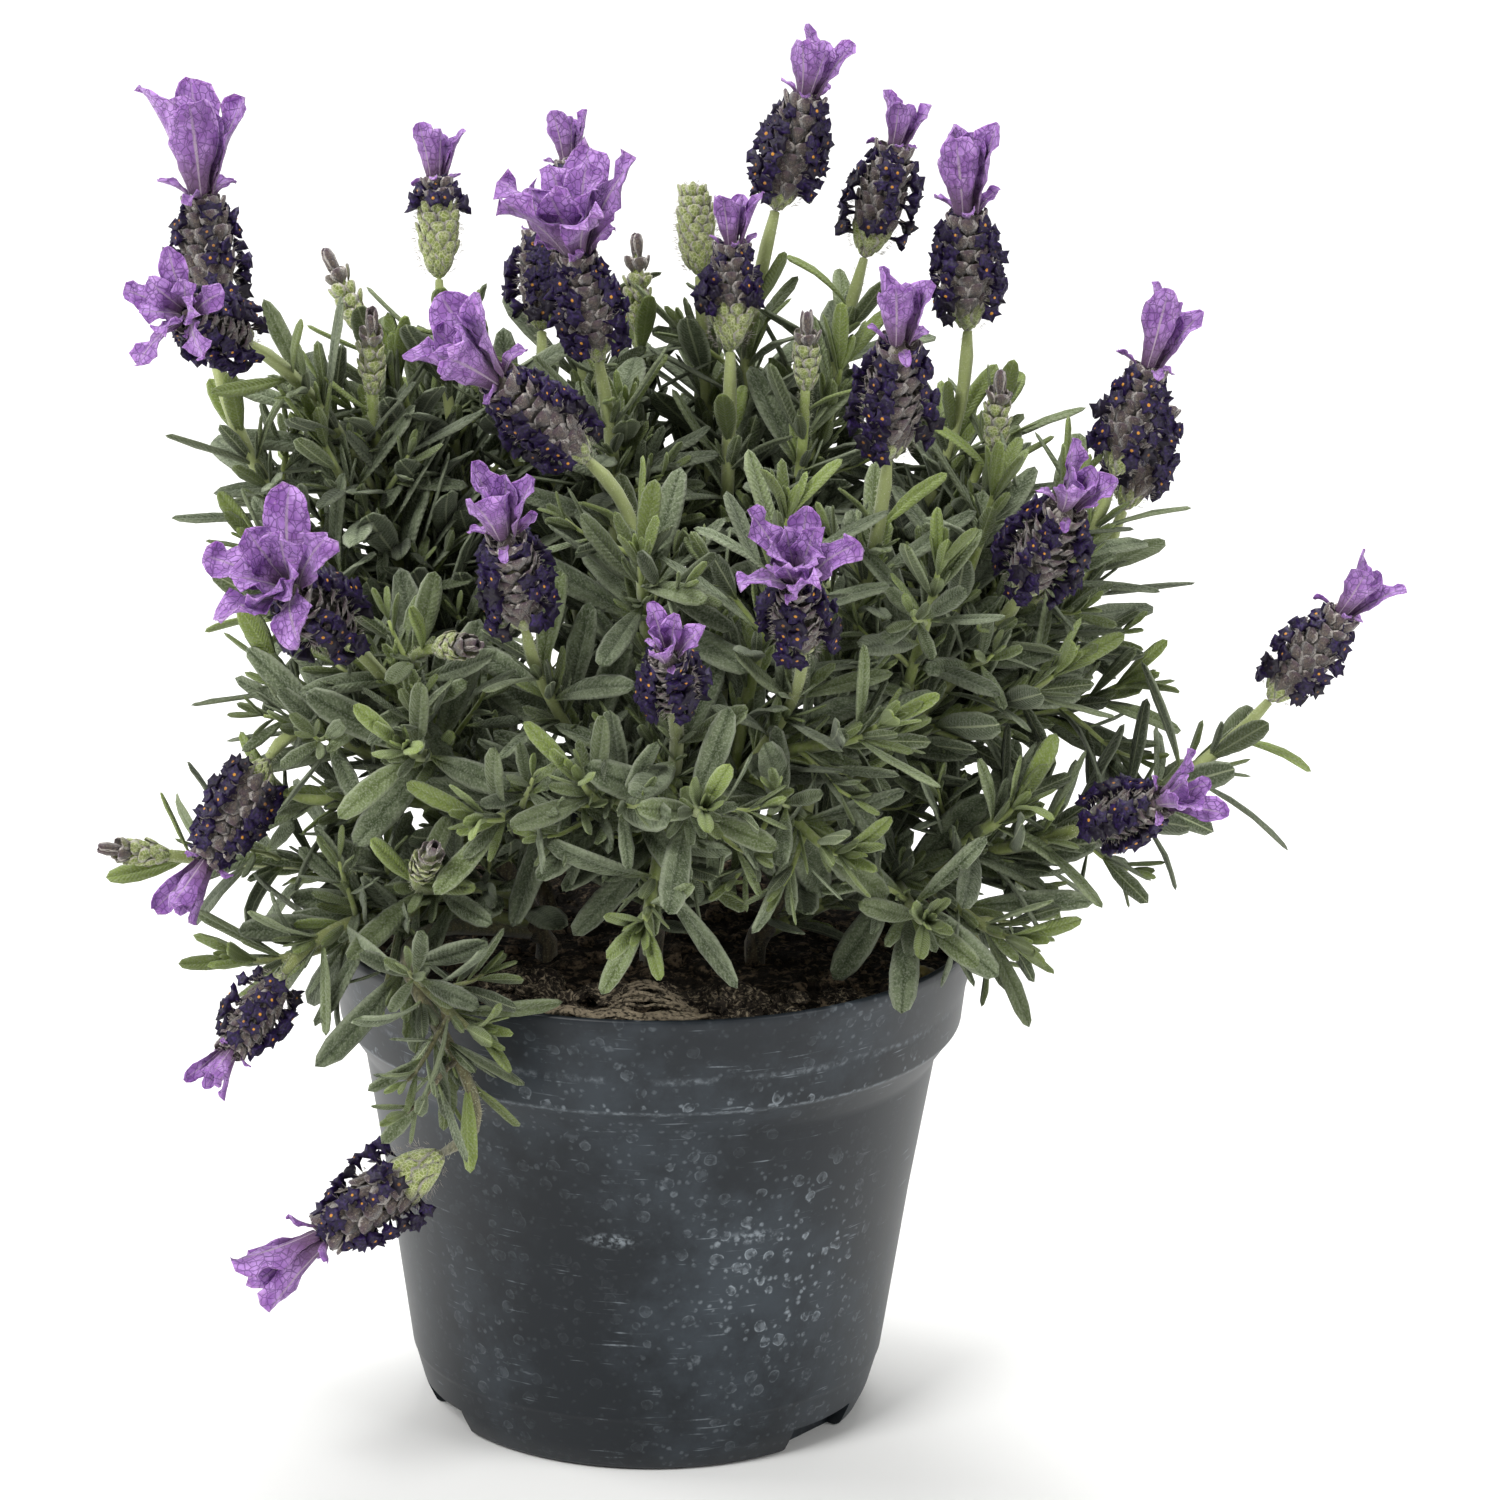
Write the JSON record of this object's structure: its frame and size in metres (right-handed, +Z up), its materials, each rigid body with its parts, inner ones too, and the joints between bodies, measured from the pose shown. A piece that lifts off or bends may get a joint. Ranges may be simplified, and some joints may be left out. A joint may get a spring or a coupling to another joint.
{
  "type": "potted lavender",
  "caption": "Spanish lavender in flower, with dark heads under violet bracts above grey-green leafy stems, in a round tapered nursery pot filled with soil.",
  "frame": {"origin": "on the axis of the pot, on the ground, in the middle of the flat pad under the pot", "axes": "+Z up along the axis of the pot; -Y towards the viewer of the picture, +X to the right; one unit of the source is one millimetre"},
  "size_m": [0.3247, 0.2235, 0.3577],
  "materials": {
    "pot_plastic": "injection-moulded polypropylene, satin, with lime-water spots",
    "potting_soil": "moist peat and bark compost, rough",
    "bark": "raw bark, rough",
    "fertiliser_beads": "resin-coated granules, satin",
    "green_growth": "grey-green felted leaves and square stems, matt",
    "flower_heads": "dark violet florets between woolly bracts, matt",
    "violet_bracts": "thin violet bracts with darker veins, satin"
  },
  "bodies": {
    "root": {"pot": "pot_plastic", "soil": "potting_soil", "bark": "bark", "beads_left": "fertiliser_beads", "beads_right": "fertiliser_beads", "head_01": "flower_heads", "head_02": "flower_heads", "head_03": "flower_heads", "head_04": "flower_heads", "head_05": "flower_heads", "head_06": "flower_heads", "head_07": "flower_heads", "head_08": "flower_heads", "head_09": "flower_heads", "head_10": "flower_heads", "head_11": "flower_heads", "head_12": "flower_heads", "head_13": "flower_heads", "head_14": "flower_heads", "head_15": "flower_heads", "head_16": "flower_heads", "head_17": "flower_heads", "head_18": "flower_heads", "head_19": "flower_heads", "head_20": "flower_heads", "head_21": "flower_heads", "head_22": "flower_heads", "head_23": "flower_heads", "head_24": "flower_heads", "head_25": "flower_heads", "coma_01": "violet_bracts", "coma_02": "violet_bracts", "coma_03": "violet_bracts", "coma_04": "violet_bracts", "coma_05": "violet_bracts", "coma_06": "violet_bracts", "coma_07": "violet_bracts", "coma_08": "violet_bracts", "coma_09": "violet_bracts", "coma_10": "violet_bracts", "coma_12": "violet_bracts", "coma_13": "violet_bracts", "coma_14": "violet_bracts", "coma_15": "violet_bracts", "coma_16": "violet_bracts", "coma_18": "violet_bracts", "coma_19": "violet_bracts", "coma_20": "violet_bracts", "coma_21": "violet_bracts", "coma_22": "violet_bracts", "coma_23": "violet_bracts", "coma_24": "violet_bracts", "coma_25": "violet_bracts", "stem_left_back": "green_growth", "stem_left_front": "green_growth", "stem_back_left": "green_growth", "stem_back_right": "green_growth", "stem_right_back": "green_growth", "stem_right_front": "green_growth", "stem_front": "green_growth"}
  },
  "joints": []
}
